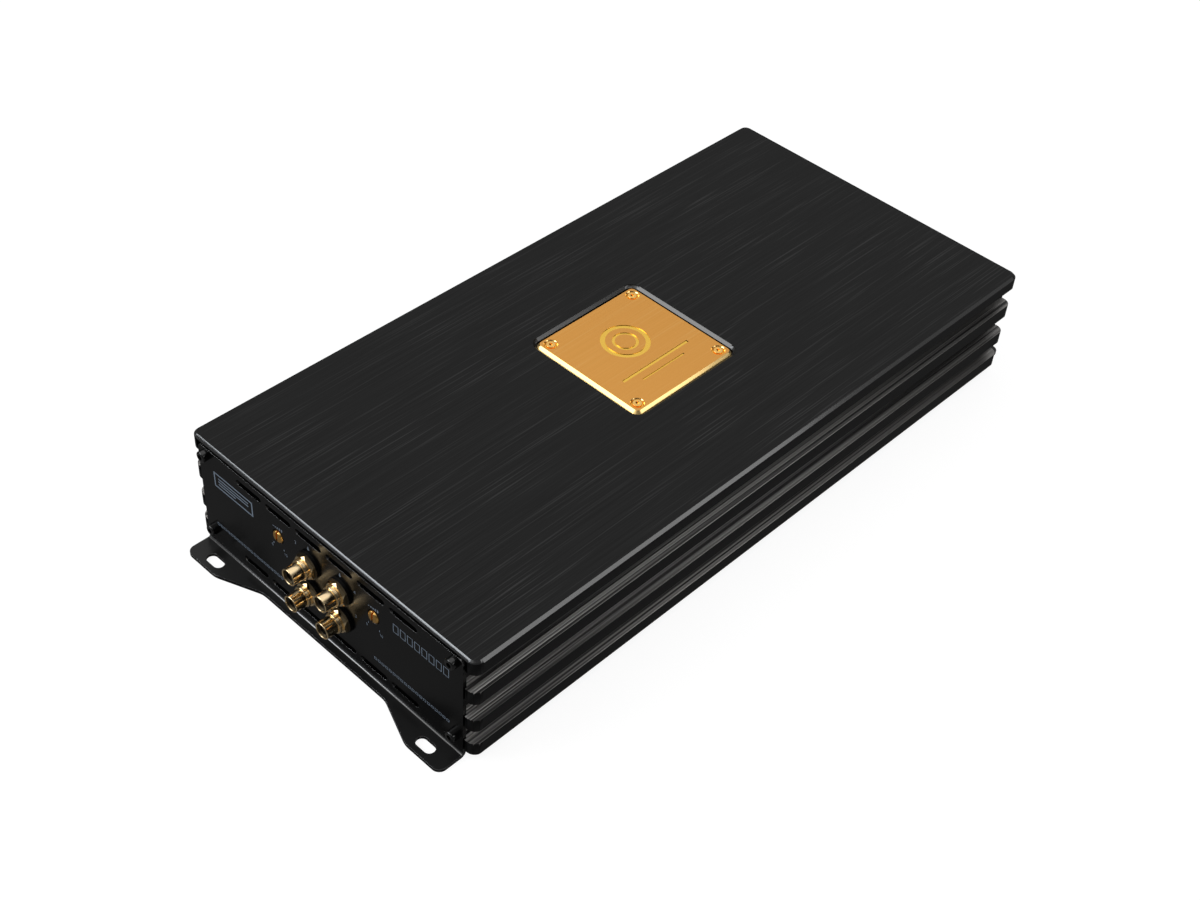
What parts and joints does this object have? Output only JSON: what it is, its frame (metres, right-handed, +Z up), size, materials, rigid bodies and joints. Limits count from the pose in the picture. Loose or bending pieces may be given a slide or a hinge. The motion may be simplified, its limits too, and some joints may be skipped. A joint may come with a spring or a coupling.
{
  "type": "car amplifier",
  "caption": "Multi-channel car amplifier: finned heatsink body, folded end panels with slotted ears, phono inputs, gain controls, clamp terminals and blade fuses.",
  "frame": {"origin": "centre of the base, in the plane that the amplifier is screwed down to", "axes": "+X across the heatsink, +Y along it towards the power end (the input jacks face -Y), +Z up"},
  "size_m": [0.182, 0.4, 0.0623],
  "materials": {
    "anodised_black": "black anodised, brushed top, satin sides",
    "coated_sheet": "black satin powder coat",
    "black_steel": "black zinc, semi-gloss",
    "gold_plate": "polished gold plate",
    "gold_brushed": "brushed gold anodised",
    "black_plastic": "moulded",
    "terminal_plastic": "moulded, fine texture",
    "circuit_board": "green solder mask",
    "nickel_steel": "nickel plated",
    "ferrite": "sintered",
    "copper_wire": "enamelled copper",
    "capacitor_sleeve": "shrink sleeve",
    "device_epoxy": "moulded epoxy",
    "grey_silicone": "soft",
    "bare_aluminium": "mill finish",
    "fuse_amber": "clear tinted",
    "lamp_blue": "diffused lens"
  },
  "bodies": {
    "chassis": {"heatsink": "anodised_black", "bottom_plate": "coated_sheet", "bottom_plate_screws": "black_steel", "front_panel": "coated_sheet", "rear_panel": "coated_sheet", "front_panel_screws": "black_steel", "rear_panel_screws": "black_steel", "badge_plate": "gold_brushed", "badge_screws": "gold_plate", "input_jack_shells": "gold_plate", "input_jack_insulators": "black_plastic", "input_jack_contacts": "gold_plate", "input_jack_nuts": "gold_plate", "input_jack_washers": "black_plastic", "gain_pot_bodies": "black_plastic", "input_board": "circuit_board", "link_header": "black_plastic", "main_board": "circuit_board", "board_standoffs": "nickel_steel", "board_screws": "nickel_steel", "toroid_core": "ferrite", "toroid_winding": "copper_wire", "filter_choke": "copper_wire", "reservoir_capacitors": "capacitor_sleeve", "power_transistors": "device_epoxy", "insulating_pads": "grey_silicone", "clamp_bars": "bare_aluminium", "clamp_screws": "nickel_steel", "power_block": "terminal_plastic", "power_contact_bars": "gold_plate", "speaker_block": "terminal_plastic", "speaker_contact_bars": "gold_plate", "fuse_holder": "terminal_plastic", "power_lamp": "lamp_blue"},
    "power_screw_1": {"power_screw_1": "gold_plate"},
    "power_cage_1": {"power_cage_1": "gold_plate"},
    "power_screw_2": {"power_screw_2": "gold_plate"},
    "power_cage_2": {"power_cage_2": "gold_plate"},
    "power_screw_3": {"power_screw_3": "gold_plate"},
    "power_cage_3": {"power_cage_3": "gold_plate"},
    "speaker_screw_1": {"speaker_screw_1": "gold_plate"},
    "speaker_cage_1": {"speaker_cage_1": "gold_plate"},
    "speaker_screw_2": {"speaker_screw_2": "gold_plate"},
    "speaker_cage_2": {"speaker_cage_2": "gold_plate"},
    "speaker_screw_3": {"speaker_screw_3": "gold_plate"},
    "speaker_cage_3": {"speaker_cage_3": "gold_plate"},
    "speaker_screw_4": {"speaker_screw_4": "gold_plate"},
    "speaker_cage_4": {"speaker_cage_4": "gold_plate"},
    "speaker_screw_5": {"speaker_screw_5": "gold_plate"},
    "speaker_cage_5": {"speaker_cage_5": "gold_plate"},
    "speaker_screw_6": {"speaker_screw_6": "gold_plate"},
    "speaker_cage_6": {"speaker_cage_6": "gold_plate"},
    "speaker_screw_7": {"speaker_screw_7": "gold_plate"},
    "speaker_cage_7": {"speaker_cage_7": "gold_plate"},
    "speaker_screw_8": {"speaker_screw_8": "gold_plate"},
    "speaker_cage_8": {"speaker_cage_8": "gold_plate"},
    "gain_shaft_1": {"gain_shaft_1": "gold_plate"},
    "gain_shaft_2": {"gain_shaft_2": "gold_plate"},
    "fuse_1": {"fuse_1": "fuse_amber"},
    "fuse_2": {"fuse_2": "fuse_amber"}
  },
  "joints": [
    {"name": "power_cage_1_rise", "type": "slide", "parent": "chassis", "child": "power_cage_1", "axis": [0, 0, 1], "range_m": [0, 0.005]},
    {"name": "power_screw_1_turn", "type": "hinge", "parent": "chassis", "child": "power_screw_1", "pos_m": [0.03, 0.1923, 0.032], "axis": [0, 0, -1], "range_deg": [0, 2571.5]},
    {"name": "power_cage_2_rise", "type": "slide", "parent": "chassis", "child": "power_cage_2", "axis": [0, 0, 1], "range_m": [0, 0.005]},
    {"name": "power_screw_2_turn", "type": "hinge", "parent": "chassis", "child": "power_screw_2", "pos_m": [0.044, 0.1923, 0.032], "axis": [0, 0, -1], "range_deg": [0, 2571.5]},
    {"name": "power_cage_3_rise", "type": "slide", "parent": "chassis", "child": "power_cage_3", "axis": [0, 0, 1], "range_m": [0, 0.005]},
    {"name": "power_screw_3_turn", "type": "hinge", "parent": "chassis", "child": "power_screw_3", "pos_m": [0.058, 0.1923, 0.032], "axis": [0, 0, -1], "range_deg": [0, 2571.5]},
    {"name": "speaker_cage_1_rise", "type": "slide", "parent": "chassis", "child": "speaker_cage_1", "axis": [0, 0, 1], "range_m": [0, 0.0032]},
    {"name": "speaker_screw_1_turn", "type": "hinge", "parent": "chassis", "child": "speaker_screw_1", "pos_m": [-0.0666, 0.1921, 0.032], "axis": [0, 0, -1], "range_deg": [0, 2304.5]},
    {"name": "speaker_cage_2_rise", "type": "slide", "parent": "chassis", "child": "speaker_cage_2", "axis": [0, 0, 1], "range_m": [0, 0.0032]},
    {"name": "speaker_screw_2_turn", "type": "hinge", "parent": "chassis", "child": "speaker_screw_2", "pos_m": [-0.059, 0.1921, 0.032], "axis": [0, 0, -1], "range_deg": [0, 2304.5]},
    {"name": "speaker_cage_3_rise", "type": "slide", "parent": "chassis", "child": "speaker_cage_3", "axis": [0, 0, 1], "range_m": [0, 0.0032]},
    {"name": "speaker_screw_3_turn", "type": "hinge", "parent": "chassis", "child": "speaker_screw_3", "pos_m": [-0.0514, 0.1921, 0.032], "axis": [0, 0, -1], "range_deg": [0, 2304.5]},
    {"name": "speaker_cage_4_rise", "type": "slide", "parent": "chassis", "child": "speaker_cage_4", "axis": [0, 0, 1], "range_m": [0, 0.0032]},
    {"name": "speaker_screw_4_turn", "type": "hinge", "parent": "chassis", "child": "speaker_screw_4", "pos_m": [-0.0438, 0.1921, 0.032], "axis": [0, 0, -1], "range_deg": [0, 2304.5]},
    {"name": "speaker_cage_5_rise", "type": "slide", "parent": "chassis", "child": "speaker_cage_5", "axis": [0, 0, 1], "range_m": [0, 0.0032]},
    {"name": "speaker_screw_5_turn", "type": "hinge", "parent": "chassis", "child": "speaker_screw_5", "pos_m": [-0.0362, 0.1921, 0.032], "axis": [0, 0, -1], "range_deg": [0, 2304.5]},
    {"name": "speaker_cage_6_rise", "type": "slide", "parent": "chassis", "child": "speaker_cage_6", "axis": [0, 0, 1], "range_m": [0, 0.0032]},
    {"name": "speaker_screw_6_turn", "type": "hinge", "parent": "chassis", "child": "speaker_screw_6", "pos_m": [-0.0286, 0.1921, 0.032], "axis": [0, 0, -1], "range_deg": [0, 2304.5]},
    {"name": "speaker_cage_7_rise", "type": "slide", "parent": "chassis", "child": "speaker_cage_7", "axis": [0, 0, 1], "range_m": [0, 0.0032]},
    {"name": "speaker_screw_7_turn", "type": "hinge", "parent": "chassis", "child": "speaker_screw_7", "pos_m": [-0.021, 0.1921, 0.032], "axis": [0, 0, -1], "range_deg": [0, 2304.5]},
    {"name": "speaker_cage_8_rise", "type": "slide", "parent": "chassis", "child": "speaker_cage_8", "axis": [0, 0, 1], "range_m": [0, 0.0032]},
    {"name": "speaker_screw_8_turn", "type": "hinge", "parent": "chassis", "child": "speaker_screw_8", "pos_m": [-0.0134, 0.1921, 0.032], "axis": [0, 0, -1], "range_deg": [0, 2304.5]},
    {"name": "gain_1_turn", "type": "hinge", "parent": "chassis", "child": "gain_shaft_1", "pos_m": [-0.031, -0.186, 0.042], "axis": [0, 1, 0], "range_deg": [-140, 140]},
    {"name": "gain_2_turn", "type": "hinge", "parent": "chassis", "child": "gain_shaft_2", "pos_m": [0.031, -0.186, 0.042], "axis": [0, 1, 0], "range_deg": [-140, 140]},
    {"name": "fuse_1_pull", "type": "slide", "parent": "chassis", "child": "fuse_1", "axis": [0, 1, 0], "range_m": [0, 0.009]},
    {"name": "fuse_2_pull", "type": "slide", "parent": "chassis", "child": "fuse_2", "axis": [0, 1, 0], "range_m": [0, 0.009]}
  ],
  "couplings": [
    {"joint": "power_screw_1_turn", "follows": "power_cage_1_rise", "rad_per_m": 8976},
    {"joint": "power_screw_2_turn", "follows": "power_cage_2_rise", "rad_per_m": 8976},
    {"joint": "power_screw_3_turn", "follows": "power_cage_3_rise", "rad_per_m": 8976},
    {"joint": "speaker_screw_1_turn", "follows": "speaker_cage_1_rise", "rad_per_m": 12566},
    {"joint": "speaker_screw_2_turn", "follows": "speaker_cage_2_rise", "rad_per_m": 12566},
    {"joint": "speaker_screw_3_turn", "follows": "speaker_cage_3_rise", "rad_per_m": 12566},
    {"joint": "speaker_screw_4_turn", "follows": "speaker_cage_4_rise", "rad_per_m": 12566},
    {"joint": "speaker_screw_5_turn", "follows": "speaker_cage_5_rise", "rad_per_m": 12566},
    {"joint": "speaker_screw_6_turn", "follows": "speaker_cage_6_rise", "rad_per_m": 12566},
    {"joint": "speaker_screw_7_turn", "follows": "speaker_cage_7_rise", "rad_per_m": 12566},
    {"joint": "speaker_screw_8_turn", "follows": "speaker_cage_8_rise", "rad_per_m": 12566}
  ]
}
